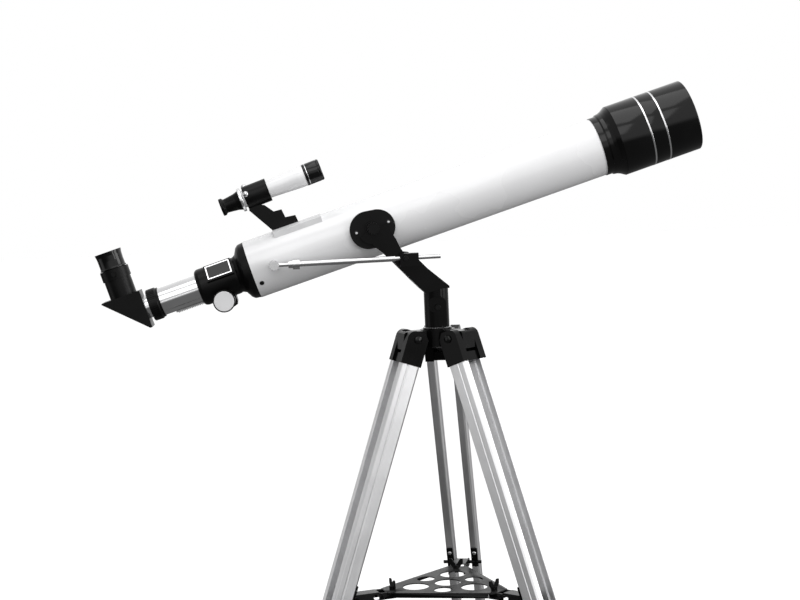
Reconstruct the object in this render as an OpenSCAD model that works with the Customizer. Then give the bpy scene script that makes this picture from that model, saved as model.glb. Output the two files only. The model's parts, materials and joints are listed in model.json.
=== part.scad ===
// Small refractor telescope on an alt-azimuth yoke and a folding aluminium tripod.
// Millimetres, +Z up. The origin is on the floor, under the azimuth axis; the tube points towards +X.

/* [Main tube] */
// Outside diameter of the main tube
tube_d = 80; // [78:0.5:82]
// Thickness of the tube's wall
tube_wall = 1.2; // [0.8:0.1:1.6]
// Length of tube behind the altitude axis
tube_back = 173; // [171:0.5:175]
// Length of white tube ahead of the altitude axis
tube_front = 331; // [325:1:335]
// Elevation that the tube is stored at
tube_elevation = 17; // [15:0.5:19]

/* [Objective end] */
// Clear aperture of the objective
aperture = 70; // [68:0.5:71]
// Outside diameter of the dew shield
shield_d = 98.7; // [97:0.1:100]
// Distance from the altitude axis to the front rim of the dew shield
shield_front = 466.4; // [460:0.2:470]
// Wall of the dew shield
shield_wall = 2; // [1.5:0.1:2.5]

/* [Focuser] */
// Outside diameter of the chromed drawtube
drawtube_d = 37.8; // [37:0.1:38.2]
// Diameter of the focus knobs
knob_d = 30; // [26:0.5:32]
// Diameter of the accessory barrels
barrel_d = 31.75; // [31.7:0.05:31.8]

/* [Diagonal and eyepiece] */
// Distance from the altitude axis to the eyepiece axis
eyepiece_back = 349; // [348:0.5:350]
// Height of the eyepiece rim above the tube axis
eyepiece_top = 88.5; // [84:0.5:92]

/* [Finder] */
// Outside diameter of the finder tube
finder_d = 24; // [23:0.5:25]
// Tilt of the finder against the main tube
finder_tilt = 1.8; // [0:0.1:2]

/* [Mount] */
// Distance of the altitude axis behind the azimuth axis
pivot_back = 85.5; // [80:0.5:90]
// Height of the altitude axis above the tripod head
pivot_height = 140.6; // [136:0.2:144]
// Thickness of the yoke's arms
arm_t = 6; // [5:0.5:6.5]
// Diameter of the slow-motion rod's front end
rod_d = 5.4; // [5:0.2:6]
// Diameter of the sleeve over the rest of it
sleeve_d = 7.4; // [7:0.1:7.4]

/* [Tripod] */
// Angle between each leg and the vertical
leg_tilt = 19.4; // [19:0.1:20]
// Direction of the rear leg, counted from +X
leg_azimuth = 75.7; // [60:0.1:90]
// Length of the rails, from the hinge to their lower end
rail_length = 575; // [560:5:600]
// Length of a leg from the hinge to the floor, as set up
leg_length = 994.8; // [960:0.2:1010]
// Full width of a leg
leg_w = 47.4; // [46:0.2:49]
// Depth of a leg's rails
leg_depth = 27.6; // [26:0.2:29]

/* [Spreader and tray] */
// Distance from a leg's hinge to the spreader's pin, along the leg
spreader_down = 365.6; // [362:0.2:370]
// Distance from the tray's centre to its long sides
tray_side = 59.3; // [58:0.1:60]
// Diameter of the four large accessory holes
tray_hole_d = 36.6; // [34:0.2:38]
// Diameter of the three small accessory holes
tray_small_hole_d = 25.6; // [22:0.2:27]

/* [Hidden] */
$fn = 64;
eps = 0.01;
running = 0.05;         // radial clearance of a part that turns or slides
gap = 0.3;              // clearance between faces that pass one another

// Main tube
tube_r = tube_d / 2;
tube_in_r = tube_r - tube_wall;
tube_tuck = 14;         // length of tube that is hidden in the objective cell
screw_head_r = 3.2;
flange_screw_s = -165;
flange_turns = [120, 300];
flange_screw_r = 1.3;
plate_screw_s = 22.8;
plate_screw_r = 1.5;

// Objective end
cell_r = 41;
flare_r = 42.6;         // where the cell's flare starts
cell_seat_r = 46;
cone_end = tube_front + 26;
cell_front = cone_end + 16;
lens_r = aperture / 2 + 1;
lens_seat = cone_end - 4;
crown_t = 9;
flint_t = 5;
lens_edge_t = 4;
shield_r = shield_d / 2;
shield_in_r = shield_r - shield_wall;
stripe_places = [398.5, 420];
stripe_w = 2.2;

// Focuser, whose places count back from the altitude axis
flange_t = 8;
neck_r = 24.6;
body_r = 25.5;
body_front = -198;
body_back = -249.6;
plug_t = 15;
drawtube_r = drawtube_d / 2;
drawtube_front = -195;
drawtube_back = -303.5;
drawtube_wall = 1.3;
collar_r = 22;
collar_t = 16;
barrel_r = barrel_d / 2;
barrel_in_r = 13.6;
pinion_s = -220.9;
pinion_t = -26;
pinion_teeth = 12;
gear_module = 0.75;
gear_pitch = PI * gear_module;
pinion_pitch_r = pinion_teeth * gear_module / 2;
tooth_h = 1.5;
tooth_w = 0.9;
tooth_tip_w = 0.5;
pinion_face_w = 5;
pinion_shaft_r = 2;
rack_w = 6;
rack_start = -289;
rack_end = -197;
rack_top = drawtube_r - 0.9;
knob_in_y = 31;
knob_out_y = 42;
pad_half_w = 13;
badge_seat = body_r + 0.6;
badge_half_w = 11;
badge_angle = 52;       // how far the badge's pad is turned from the top towards -Y

// Diagonal and eyepiece
diagonal_front = -325;
diagonal_back = -379.5;
diagonal_top = 25;
diagonal_low = -27.5;
diagonal_half_w = 19;
thumbscrew_z = 57;
thumbscrew_r = 2;
holder_r = 18.4;
holder_top = 64;
mirror_t = 3;
clamp_low = 50;

// Finder, whose places count along its own axis from the ring's middle
finder_ring_s = -132;
finder_ring_t = 95.1;
finder_r = finder_d / 2;
finder_ring_in_r = 14.6;
finder_ring_r = 16;
finder_ring_half_l = 17;
finder_rear = -24;
aiming_turns = [76, 216, 316];
aiming_x = -13.5;
aiming_boss_h = 2;
stem_half_w = 5.6;

// Yoke
post_r = 17;
post_h = 54;
reach = pivot_height - post_h;
lean = atan2(reach, pivot_back);
arm_length = sqrt(pow(pivot_back, 2) + pow(reach, 2));
arm_in_y = 47;
arm_out_y = arm_in_y + arm_t;
altitude_shaft_r = 4;
plate_y = 46;
rod_y = -62;
rod_eye_s = -141;
rod_eye_t = -2;
stud_r = 3;
rod_clamp_x = -39.4;
rod_clamp_z = 99.3;
rod_clamp_pin_r = 3;
clamp_screw_r = 1.6;
clamp_screw_x = -5;      // the clamp's screw against the clamp's pin
rod_end_x = 2.3;
rod_r = rod_d / 2;
sleeve_r = sleeve_d / 2;
sleeve_end = 162;       // how far the sleeve reaches from the eye
rod_eye_r = 7;
lock_z = 28;            // height of the azimuth lock
lock_r = 2;
azimuth_bolt_r = 5;

// Tripod
leg_count = 3;
hinge_r = 37.9;
hinge_drop = 14;
hinge_bolt_r = 3;
head_r = 24;
head_top_drop = 3;
lug_w = 24.8;
rail_gap = 25.4;
rail_w = (leg_w - rail_gap) / 2;
rail_top = -20.8;
inner_offset = 3.5;     // how far the lower leg's middle is outside the rails' middle
inner_w = rail_gap - 2 * gap;
inner_depth = 15;
inner_top = -455;
inner_end = -977;
foot_top = -945;
tongue_w = 2;
tongue_h = 3;
spreader_pin_r = 2.5;
spreader_pin_w = -17;   // the pin's place inside the leg's middle plane
head_z = hinge_drop + leg_length * cos(leg_tilt) - inner_offset * sin(leg_tilt);

// Spreader and tray
pin_r = hinge_r + spreader_down * sin(leg_tilt) + spreader_pin_w * cos(leg_tilt);
pin_z = head_z - hinge_drop - spreader_down * cos(leg_tilt) + spreader_pin_w * sin(leg_tilt);
tray_pin_r = 101;
tray_pin_rod_r = 2;
tray_corner_r = 93;
hole_ring_r = 47.2;
small_hole_ring_r = 39.6;
tray_t = 1.5;
tray_top = pin_z + 5.4;
tray_lip_h = 7;
tray_lip_l = 130;
wing_screw_r = 81.6;
brace_half_w = 10;
brace_t = 1.5;
brace_half_h = 5;

// ---- frames and helpers ----

// Points on an arc, from angle a0 to a1
function arc(centre, r, a0, a1, steps = 8) =
    [for (i = [0:steps]) let (a = a0 + (a1 - a0) * i / steps) centre + r * [cos(a), sin(a)]];

// Tube frame: +X along the tube to the objective, origin on the altitude axis
module on_tube() {
    translate([-pivot_back, 0, head_z + pivot_height]) rotate([0, -tube_elevation, 0]) children();
}

// Head frame: origin on the azimuth axis at the head's top
module on_head() {
    translate([0, 0, head_z]) children();
}

// Leg frame: +X outwards across the leg, +Z up along it, origin on the hinge
module on_leg(leg) {
    rotate([0, 0, leg_azimuth - 120 * (leg - 1)])
        translate([hinge_r, 0, head_z - hinge_drop])
            rotate([0, -leg_tilt, 0]) children();
}

// Finder frame: +X along the finder, origin in the middle of its ring
module on_finder() {
    on_tube() translate([finder_ring_s, 0, finder_ring_t]) rotate([0, -finder_tilt, 0]) children();
}

// Solid of revolution about +X from [radius, place] points
module lathe(points, fn = 96) {
    rotate([0, 90, 0]) rotate_extrude($fn = fn) polygon(points);
}

// Cylinder along +X
module rod_x(x0, x1, r, fn = 64) {
    translate([x0, 0, 0]) rotate([0, 90, 0]) cylinder(h = x1 - x0, r = r, $fn = fn);
}

// Cylinder along +Y
module rod_y(y0, y1, r, fn = 48) {
    translate([0, y0, 0]) rotate([-90, 0, 0]) cylinder(h = y1 - y0, r = r, $fn = fn);
}

// Outline in the XZ plane, extruded from y0 to y1
module slab(y0, y1) {
    translate([0, y1, 0]) rotate([90, 0, 0]) linear_extrude(y1 - y0) children();
}

// Box from one corner to the opposite one
module block(low, high) {
    translate(low) cube(high - low);
}

// Pan-head screw, its head towards +Z
module pan_screw(r, head_h, shaft_r, shaft_l) {
    rotate_extrude($fn = 32)
        polygon(concat([[0, -shaft_l], [shaft_r, -shaft_l], [shaft_r, 0], [r, 0]],
            [for (i = [0:6]) [r * cos(90 * i / 6), head_h * (0.35 + 0.65 * sin(90 * i / 6))]]));
}

// Wing screw, its wings towards +Z
module wing_screw(shaft_r, shaft_l, hub_r, hub_h, span, wing_h) {
    translate([0, 0, -shaft_l]) cylinder(h = shaft_l + eps, r = shaft_r, $fn = 32);
    cylinder(h = hub_h, r = hub_r, $fn = 32);
    for (side = [0, 180]) {
        rotate([0, 0, side]) slab(-1.2, 1.2)
            polygon([[0, 1], [hub_r, 1], [span, wing_h * 0.55], [span, wing_h], [span * 0.62, wing_h], [0, hub_h]]);
    }
}

// ---- main tube and objective ----

module main_tube() {
    color("white") on_tube() difference() {
        rod_x(-tube_back, tube_front + tube_tuck, tube_r, 128);
        rod_x(-tube_back - 1, tube_front + tube_tuck + 1, tube_in_r, 128);
        for (turn = flange_turns) {
            rotate([turn, 0, 0]) translate([flange_screw_s, 0, tube_in_r - 1])
                cylinder(h = tube_wall + 2, r = flange_screw_r + running, $fn = 32);
        }
    }
}

module objective_cell() {
    inside = [
        [tube_r, tube_front], [tube_r, tube_front + tube_tuck], [aperture / 2 - 1, tube_front + tube_tuck],
        [aperture / 2 - 1, lens_seat], [lens_r, lens_seat], [lens_r, cell_front],
    ];
    outside = [
        [cell_seat_r, cell_front], [cell_seat_r, cone_end - 0.1], [shield_r, cone_end - 0.1],
        [shield_r - 4.15, cone_end - 6.5], [flare_r + 0.8, tube_front + 15], [flare_r, tube_front + 10],
        [cell_r, tube_front + 9], [cell_r, tube_front],
    ];
    color("#161616") on_tube() lathe(concat(inside, outside), 128);
}

// Crown in front of flint, with their curves as arcs of few steps
module objective_lenses() {
    steps = 8;
    bulge = 2;
    function curve(i) = bulge * (1 - pow(i / steps, 2));
    middle = lens_seat + flint_t;
    front = middle + crown_t - lens_edge_t;
    color("#cfe0ea", 0.35) on_tube() {
        lathe(concat([[0, lens_seat + 1]], [[lens_r - 2 * gap, lens_seat + 1]],
            [for (i = [steps:-1:0]) [(lens_r - 2 * gap) * i / steps, middle - 0.2 - curve(i)]]));
        lathe(concat([for (i = [0:steps]) [(lens_r - gap) * i / steps, middle - curve(i)]],
            [for (i = [steps:-1:0]) [(lens_r - gap) * i / steps, front + curve(i)]]));
    }
}

// Ring that holds the objective in its cell, and two glare stops in the tube
module inner_rings() {
    ring_back = lens_seat + flint_t + crown_t - lens_edge_t + gap;
    stops = [[-20, 25], [150, 30]];
    color("#101010") on_tube() {
        difference() {
            rod_x(ring_back, ring_back + 4, lens_r, 96);
            rod_x(ring_back - 1, ring_back + 5, aperture / 2, 96);
        }
        for (stop = stops) {
            difference() {
                rod_x(stop[0], stop[0] + 8, tube_in_r, 96);
                rod_x(stop[0] + 1, stop[0] + 9, tube_in_r - 1.2, 96);
                rod_x(stop[0] - 1, stop[0] + 2, stop[1], 96);
            }
        }
    }
}

module dew_shield() {
    outside = [[shield_r, cone_end], [shield_r, shield_front - 1], [shield_r - 1, shield_front]];
    inside = [
        [shield_in_r, shield_front], [shield_in_r, cell_front + 2], [cell_seat_r + running, cell_front + 1],
        [cell_seat_r + running, cone_end],
    ];
    color("#101010") on_tube() difference() {
        lathe(concat(outside, inside), 128);
        for (place = stripe_places) {
            stripe(place, 0.4, 1);
        }
    }
}

// One stripe's ring, sunk into the shield and a little thicker than its groove is deep
module stripe(place, depth, out) {
    difference() {
        rod_x(place - stripe_w / 2, place + stripe_w / 2, shield_r + out, 128);
        rod_x(place - stripe_w, place + stripe_w, shield_r - depth, 128);
    }
}

module dew_shield_rings() {
    color("silver") on_tube() for (place = stripe_places) {
        stripe(place, 0.4, 0.15);
    }
}

module tube_screws() {
    color("#181818") on_tube() {
        for (turn = flange_turns) {
            rotate([turn, 0, 0]) translate([flange_screw_s, 0, tube_r])
                pan_screw(screw_head_r, 1.4, flange_screw_r, tube_wall);
        }
        for (side = [-1, 1], s = [-plate_screw_s, plate_screw_s]) {
            translate([s, side * plate_y, 1]) rotate([-90 * side, 0, 0])
                pan_screw(screw_head_r, 0.7, plate_screw_r, 5);
        }
    }
}

// ---- focuser ----

module focuser_housing() {
    flange_back = -tube_back - flange_t;
    round_r = 6;
    profile = concat(
        [[0, -tube_back + plug_t], [tube_in_r, -tube_back + plug_t], [tube_in_r, -tube_back], [39.6, -tube_back]],
        [[38.4, flange_back], [35.4, flange_back - 3.6], [26.8, -189.5], [neck_r, -194], [body_r, body_front]],
        arc([body_r - round_r, body_back + round_r], round_r, 0, -90, 6),
        [[0, body_back]]
    );
    color("#121212") on_tube() difference() {
        union() {
            lathe(profile, 128);
            block([-237, -13.5, pinion_t], [-205, 13.5, -18]);
            rotate([badge_angle, 0, 0]) block([-234, -pad_half_w, 0], [-196, pad_half_w, badge_seat]);
        }
        rod_x(body_back - 1, -tube_back + plug_t + 1, drawtube_r + running, 128);
        block([body_back - 1, -rack_w / 2 - gap, -23.4], [-tube_back + plug_t + 1, rack_w / 2 + gap, 0]);
        pinion_room();
    }
}

// Space for the pinion and its shaft, half in the housing and half in the cover
module pinion_room() {
    translate([pinion_s, 0, pinion_t]) {
        rod_y(-20, 20, pinion_shaft_r + running);
        rod_y(-pinion_face_w / 2 - gap, pinion_face_w / 2 + gap, pinion_pitch_r + tooth_h);
    }
}

module pinion_cover() {
    outline = concat([[-236.5, pinion_t], [-236.5, -31]], arc([-229, -31.5], 7.2, 180, 270, 5),
        arc([-212, -31.5], 7.2, 270, 360, 5), [[-204.8, pinion_t]]);
    color("#161616") on_tube() {
        difference() {
            slab(-13.5, 13.5) polygon(outline);
            pinion_room();
        }
        for (s = [-232.5, -208.5], y = [-9, 9]) {
            translate([s, y, -36.6]) rotate([180, 0, 0]) pan_screw(2.2, 1.2, 1.2, 3);
        }
    }
}

// Plate in a bright frame on the housing's pad
module name_badge() {
    frame_w = 1.6;
    color("silver") on_tube() rotate([badge_angle, 0, 0]) difference() {
        block([-232, -badge_half_w, badge_seat], [-198, badge_half_w, badge_seat + 1]);
        block([-232 + frame_w, -badge_half_w + frame_w, badge_seat + 0.7],
            [-198 - frame_w, badge_half_w - frame_w, badge_seat + 2]);
    }
}

module drawtube() {
    color("#d8d8d8") on_tube() difference() {
        rod_x(drawtube_back, drawtube_front, drawtube_r, 128);
        rod_x(drawtube_back - 1, drawtube_front + 1, drawtube_r - drawtube_wall, 128);
        block([drawtube_back - 1, -drawtube_r - 1, 0.6], [drawtube_front - 6, -drawtube_r + 0.6, 2.4]);
        block([rack_start - gap, -rack_w / 2, -drawtube_r - 1], [rack_end + gap, rack_w / 2, -rack_top]);
    }
}

// One gear tooth, its root on y = 0 and its tip towards +Y
module tooth() {
    polygon([[-tooth_w * 0.7, -0.3], [-tooth_w * 0.7, 0], [-tooth_tip_w / 2, tooth_h], [tooth_tip_w / 2, tooth_h],
        [tooth_w * 0.7, 0], [tooth_w * 0.7, -0.3]]);
}

module focus_rack() {
    bar_low = pinion_t + pinion_pitch_r + tooth_h / 2;
    count_back = floor((pinion_s - rack_start) / gear_pitch);
    count_front = floor((rack_end - pinion_s) / gear_pitch) - 1;
    color("#3a3a3a") on_tube() slab(-rack_w / 2, rack_w / 2) union() {
        polygon([[rack_start, bar_low], [rack_end, bar_low], [rack_end, -rack_top], [rack_start, -rack_top]]);
        for (i = [-count_back:count_front]) {
            translate([pinion_s + (i + 0.5) * gear_pitch, bar_low]) mirror([0, 1]) tooth();
        }
    }
}

module drawtube_collar() {
    back = drawtube_back - collar_t;
    plug_r = drawtube_r - drawtube_wall;
    grips = 48;
    color("#141414") on_tube() difference() {
        lathe([[barrel_r + running, back], [collar_r - 1, back], [collar_r, back + 1], [collar_r, back + 12],
            [collar_r - 1.4, back + 13.5], [collar_r - 1.4, drawtube_back], [plug_r, drawtube_back],
            [plug_r, drawtube_back + 7], [barrel_r + running, drawtube_back + 7]], 128);
        for (i = [0:grips - 1]) {
            rotate([360 / grips * i, 0, 0])
                block([back + 1.6, -0.5, collar_r - 0.6], [back + 11.4, 0.5, collar_r + 1]);
        }
    }
}

module focus_pinion() {
    color("#8c8c8c") on_tube() translate([pinion_s, 0, pinion_t]) {
        rod_y(-knob_out_y + 3, knob_out_y - 3, pinion_shaft_r);
        slab(-pinion_face_w / 2, pinion_face_w / 2) union() {
            circle(r = pinion_pitch_r - tooth_h / 2, $fn = 48);
            for (i = [0:pinion_teeth - 1]) {
                rotate(360 / pinion_teeth * i) translate([0, pinion_pitch_r - tooth_h / 2]) tooth();
            }
        }
    }
}

module focus_knobs() {
    dish_r = knob_d / 2 - 1.5;
    color("#191919") on_tube() translate([pinion_s, 0, pinion_t]) for (side = [-1, 1]) {
        rotate([-90 * side, 0, 0]) difference() {
            union() {
                translate([0, 0, knob_in_y]) cylinder(h = knob_out_y - knob_in_y, r = knob_d / 2, $fn = 96);
                translate([0, 0, knob_in_y - 9]) cylinder(h = 9, r = 7, $fn = 48);
            }
            translate([0, 0, knob_out_y - 2]) cylinder(h = 3, r = dish_r, $fn = 96);
            translate([0, 0, knob_in_y - 10])
                cylinder(h = knob_out_y - knob_in_y + 7, r = pinion_shaft_r, $fn = 48);
        }
    }
}

module knob_caps() {
    cap_r = knob_d / 2 - 1.5;
    color("#eeeeee") on_tube() translate([pinion_s, 0, pinion_t]) for (side = [-1, 1]) {
        rotate([-90 * side, 0, 0]) translate([0, 0, knob_out_y - 2]) cylinder(h = 2.4, r = cap_r, $fn = 96);
    }
}

// ---- diagonal and eyepiece ----

module diagonal_housing() {
    face = diagonal_front;
    sides = [[face, diagonal_top], [face, diagonal_low], [face - 3, diagonal_low],
        [diagonal_back, diagonal_top - 1.2], [diagonal_back + 1.5, diagonal_top]];
    color("#111111") on_tube() difference() {
        union() {
            slab(-diagonal_half_w, diagonal_half_w) polygon(sides);
            translate([-eyepiece_back, 0, diagonal_top - eps])
                cylinder(h = clamp_low - diagonal_top + 2 * eps, r = holder_r, $fn = 96);
            translate([-eyepiece_back, 0, clamp_low])
                cylinder(h = holder_top - clamp_low, r = holder_r + 1.4, $fn = 96);
            translate([-eyepiece_back, 0, thumbscrew_z]) rod_y(-holder_r - 2.6, 0, 3.6, 32);
        }
        rod_x(-eyepiece_back - 4, face + 1, barrel_in_r + 0.4, 96);
        rod_x(face - 4, face + 1, barrel_r, 96);
        translate([-eyepiece_back, 0, -4]) cylinder(h = 34, r = barrel_in_r, $fn = 96);
        translate([-eyepiece_back, 0, 30]) cylinder(h = 40, r = barrel_r + running, $fn = 96);
        translate([-eyepiece_back, 0, thumbscrew_z]) rod_y(-40, 0, thumbscrew_r + running, 32);
        mirror_space(gap / 10);
    }
}

// Slab along the diagonal's slope, just inside its outer skin
module mirror_space(grow) {
    slope = atan2(diagonal_top - diagonal_low, diagonal_back - diagonal_front + 3);
    middle = [(diagonal_front - 3 + diagonal_back) / 2, (diagonal_top + diagonal_low) / 2];
    translate([middle[0], 0, middle[1]]) rotate([0, -slope, 0])
        translate([0, 0, -2 - mirror_t / 2]) cube([44 + grow, 30 + grow, mirror_t + grow], center = true);
}

module diagonal_mirror() {
    color("#c8ccd0") on_tube() mirror_space(0);
}

module diagonal_barrel() {
    color("#dddddd") on_tube() difference() {
        rod_x(diagonal_front - 4, drawtube_back + 5, barrel_r, 96);
        rod_x(diagonal_front - 5, drawtube_back + 6, barrel_in_r + 0.4, 96);
    }
}

module eyepiece_thumbscrew() {
    head = [-holder_r - 7, -holder_r - 3];
    head_r = 3.4;
    color("#202020") on_tube() translate([-eyepiece_back, 0, thumbscrew_z]) {
        rod_y(head[1] - 1, -barrel_r - gap, thumbscrew_r, 32);
        difference() {
            rod_y(head[0], head[1], head_r);
            for (i = [0:11]) {
                rotate([0, 30 * i, 0]) block([-0.4, head[0] - 1, head_r - 0.4], [0.4, head[1] + 1, head_r + 1]);
            }
        }
    }
}

module eyepiece_body() {
    profile = [
        [11.5, 34], [barrel_r, 34], [barrel_r, holder_top + 0.5], [18.2, holder_top + 0.5], [18.2, 70], [17.4, 71],
        [17.4, 80], [18.6, 81], [18.6, eyepiece_top - 1.5], [17.4, eyepiece_top], [12, eyepiece_top],
        [9, eyepiece_top - 6], [9, eyepiece_top - 10], [11.5, eyepiece_top - 10],
    ];
    color("#141414") on_tube() translate([-eyepiece_back, 0, 0]) rotate_extrude($fn = 96) polygon(profile);
}

module eyepiece_lenses() {
    field_lens = [[0, 44], [11.5, 44], [11.5, 47], [8, 48.4], [4, 49.2], [0, 49.5]];
    eye_lens = [[0, 69], [4, 69.3], [8, 70.2], [11.5, 71.6], [11.5, 77], [9, eyepiece_top - 10],
        [0, eyepiece_top - 10]];
    color("#bcd0dc", 0.35) on_tube() translate([-eyepiece_back, 0, 0]) {
        for (lens = [field_lens, eye_lens]) {
            rotate_extrude($fn = 64) polygon(lens);
        }
    }
}

// ---- finder ----

// Saddle with upright sides and a gently curved top, before it is cut to the tube
module saddle_block() {
    half_w = 26;
    side_t = 38;
    top_r = 101;
    half_angle = asin(half_w / top_r);
    centre = [0, side_t - top_r * cos(half_angle)];
    translate([-129, 0, 0]) rotate([90, 0, 90]) linear_extrude(69)
        polygon(concat([[-half_w, 20], [half_w, 20]], arc(centre, top_r, 90 - half_angle, 90 + half_angle, 12)));
}

module finder_saddle() {
    color("#f4f4f4") on_tube() difference() {
        saddle_block();
        rod_x(-140, -50, tube_r, 128);
    }
}

module finder_bracket() {
    stem = [[-146.9, 85.9], [-127.3, 77.6], [-118.3, 65.1], [-107.3, 64.3], [-105.9, 52.5], [-92.1, 50.7],
        [-91.1, 40.8], [-128, 40.8], [-149.1, 77]];
    boss_top = finder_ring_r + aiming_boss_h;
    color("#131313") {
        on_tube() difference() {
            slab(-stem_half_w, stem_half_w) polygon(stem);
            saddle_block();
            translate([finder_ring_s, 0, finder_ring_t]) rotate([0, -finder_tilt, 0])
                rod_x(-30, 30, finder_ring_r, 96);
        }
        on_finder() difference() {
            union() {
                rod_x(-finder_ring_half_l, finder_ring_half_l, finder_ring_r, 96);
                for (turn = aiming_turns) {
                    rotate([turn, 0, 0]) translate([aiming_x, 0, 0]) cylinder(h = boss_top, r = 3.2, $fn = 32);
                }
            }
            rod_x(-finder_ring_half_l - 1, finder_ring_half_l + 1, finder_ring_in_r, 96);
            for (turn = aiming_turns) {
                rotate([turn, 0, 0]) translate([aiming_x, 0, 0]) cylinder(h = 30, r = 1.5, $fn = 32);
            }
        }
    }
}

// Three screws that hold and aim the finder, clear of its tube by its tilt
module finder_screws() {
    tip = finder_r + 0.7;
    boss_top = finder_ring_r + aiming_boss_h;
    color("#d0d0d0") on_finder() for (turn = aiming_turns) {
        rotate([turn, 0, 0]) translate([aiming_x, 0, 0]) rotate_extrude($fn = 48) polygon(concat(
            [[0, tip], [1.5, tip], [1.5, boss_top], [2.8, boss_top]],
            arc([0, boss_top + 3], 4, -40, 90, 10)
        ));
    }
}

module finder_tube() {
    wall = 1.2;
    silver_r = 16.5;
    color("white") on_finder() lathe([
        [finder_r - wall, -20], [finder_r, -20], [finder_r, 20], [finder_r + 2.3, 61], [finder_r + 2.3, 72],
        [finder_r + 2.3 - wall, 72], [finder_r + 2.3 - wall, 61], [finder_r - wall, 20],
    ]);
    color("silver") on_finder()
        lathe([[finder_r, -20], [silver_r, -20], [silver_r, finder_rear], [finder_r, finder_rear]]);
}

module finder_cell() {
    bell_r = finder_r + 2.3;
    color("#161616") on_finder() lathe([
        [bell_r, 70], [14.9, 70], [14.9, 92.5], [13.9, 94], [12.4, 94], [12.4, 82], [11.6, 82], [11.6, 78],
        [13.1 - gap, 78], [13.1 - gap, 72], [bell_r, 72],
    ]);
}

module finder_eyepiece() {
    color("#101010") on_finder() lathe([
        [finder_r - 1.2, -20], [finder_r, -20], [finder_r, finder_rear], [13.6, finder_rear], [12.6, -27],
        [11.6, -30], [9.9, -43], [9.7, -46], [12, -48], [12, -52], [7, -52], [5, -48], [5, -40], [10.4, -26],
    ]);
}

module finder_lenses() {
    front_lens = [[0, 78], [11.6, 78], [11.6, 81], [8, 82], [4, 82.6], [0, 82.8]];
    back_lens = [[0, -42], [2.5, -42.2], [5, -43], [5, -46.5], [0, -46.5]];
    color("#bcd0dc", 0.35) on_finder() for (lens = [front_lens, back_lens]) {
        lathe(lens, 48);
    }
}

// ---- altitude bearing and yoke ----

// Two circles of different size with their outer tangents
module plate_outline() {
    front = [7, -0.6];
    front_r = 23.7;
    back = [-6, -0.6];
    back_r = 25.6;
    turn = 90 - asin((back_r - front_r) / (front[0] - back[0]));
    polygon(concat(arc(front, front_r, -turn, turn, 24), arc(back, back_r, turn, 360 - turn, 28)));
}

module trunnion_plates() {
    color("#131313") on_tube() for (side = [0, 1]) {
        mirror([0, side, 0]) difference() {
            slab(-plate_y, -28) plate_outline();
            rod_x(-60, 60, tube_r, 128);
            rod_y(-plate_y - 1, -tube_r + 2, altitude_shaft_r + running);
            for (s = [-plate_screw_s, plate_screw_s]) {
                translate([s, 0, 1]) rod_y(-plate_y - 1, -38, plate_screw_r, 32);
            }
        }
    }
}

// Arm of the yoke in its own frame: +X from the post's top to the altitude axis, +Y across it upwards
module arm_outline() {
    lobe_r = 21.5;
    difference() {
        union() {
            polygon([[-20, -16.1], [17.7, -16.1], [72, -14.4], [87, -14.9], [106, -16.8], [arm_length, 0], [108, 15],
                [103.5, 13.9], [89, 10.5], [79.4, 6.6], [70.6, 4.6], [66.5, 4.5], [58, 11], [50, 11.2], [32, 10.6],
                [-20, 14.6]]);
            translate([arm_length, 0]) circle(r = lobe_r, $fn = 96);
        }
        translate([arm_length, 0]) polygon([[4, -60], [4, 3], [-4, 8], [-9, 18], [-12, 60], [60, 60], [60, -60]]);
    }
}

module yoke() {
    web = [[-20, -16.1], [32, -16.1], [32, 10.6], [-20, 14.6]];
    trim = [[-200, -60], [-19, 49.5], [5, 56], [14.2, 56], [14.2, 62], [-20, 300], [-200, 300]];
    lock_pad = concat([[12, lock_z - 26]], arc([4, lock_z + 6], 8, 0, 90, 4), arc([-5, lock_z + 7], 7, 90, 180, 4),
        arc([-5, lock_z], 7, 180, 240, 4), [[0, lock_z - 8], [0, lock_z - 26]]);
    color("#121212") on_head() difference() {
        union() {
            cylinder(h = post_h + 2, r = post_r, $fn = 96);
            slab(-post_r - 2.4, -8) polygon(lock_pad);
            intersection() {
                translate([0, 0, post_h]) mirror([1, 0, 0]) rotate([0, -lean, 0]) union() {
                    slab(-arm_out_y, arm_out_y) polygon(web);
                    for (side = [0, 1]) {
                        mirror([0, side, 0]) slab(-arm_out_y, -arm_in_y) arm_outline();
                    }
                }
                slab(-arm_out_y, arm_out_y) polygon(trim);
            }
        }
        translate([0, 0, -1]) cylinder(h = 35, r = azimuth_bolt_r + running, $fn = 48);
        translate([-pivot_back, 0, pivot_height])
            rod_y(-arm_out_y - 1, arm_out_y + 1, altitude_shaft_r + running);
        translate([rod_clamp_x, 0, rod_clamp_z])
            rod_y(-arm_out_y - 1, -arm_in_y + 1, rod_clamp_pin_r + running);
        translate([0, 0, lock_z]) rod_y(-30, 0, lock_r + running, 32);
    }
}

// Knob and bolt that clamp one arm to its trunnion plate; side is -1 near and 1 far
module altitude_screw(side) {
    color("#1c1c1c") on_head() translate([-pivot_back, 0, pivot_height]) rotate([-90 * side, 0, 0]) {
        translate([0, 0, tube_r + 1]) cylinder(h = arm_out_y - tube_r, r = altitude_shaft_r, $fn = 48);
        translate([0, 0, arm_out_y + gap]) cylinder(h = 1.2, r = 9.5, $fn = 64);
        translate([0, 0, arm_out_y + gap + 1.2]) difference() {
            cylinder(h = 8, r = 8, $fn = 64);
            for (i = [0:11]) {
                rotate([0, 0, 30 * i]) translate([8.6, 0, 1]) cylinder(h = 8, r = 1.4, $fn = 24);
            }
        }
    }
}

module altitude_screw_near() {
    altitude_screw(-1);
}

module altitude_screw_far() {
    altitude_screw(1);
}

module azimuth_lock_screw() {
    face = -post_r - 2.4;
    color("#1c1c1c") on_head() translate([0, 0, lock_z]) {
        rod_y(face - 1, -azimuth_bolt_r - gap, lock_r, 32);
        rod_y(face - 5, face - gap, 4);
    }
}

// ---- slow-motion rod ----

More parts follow.
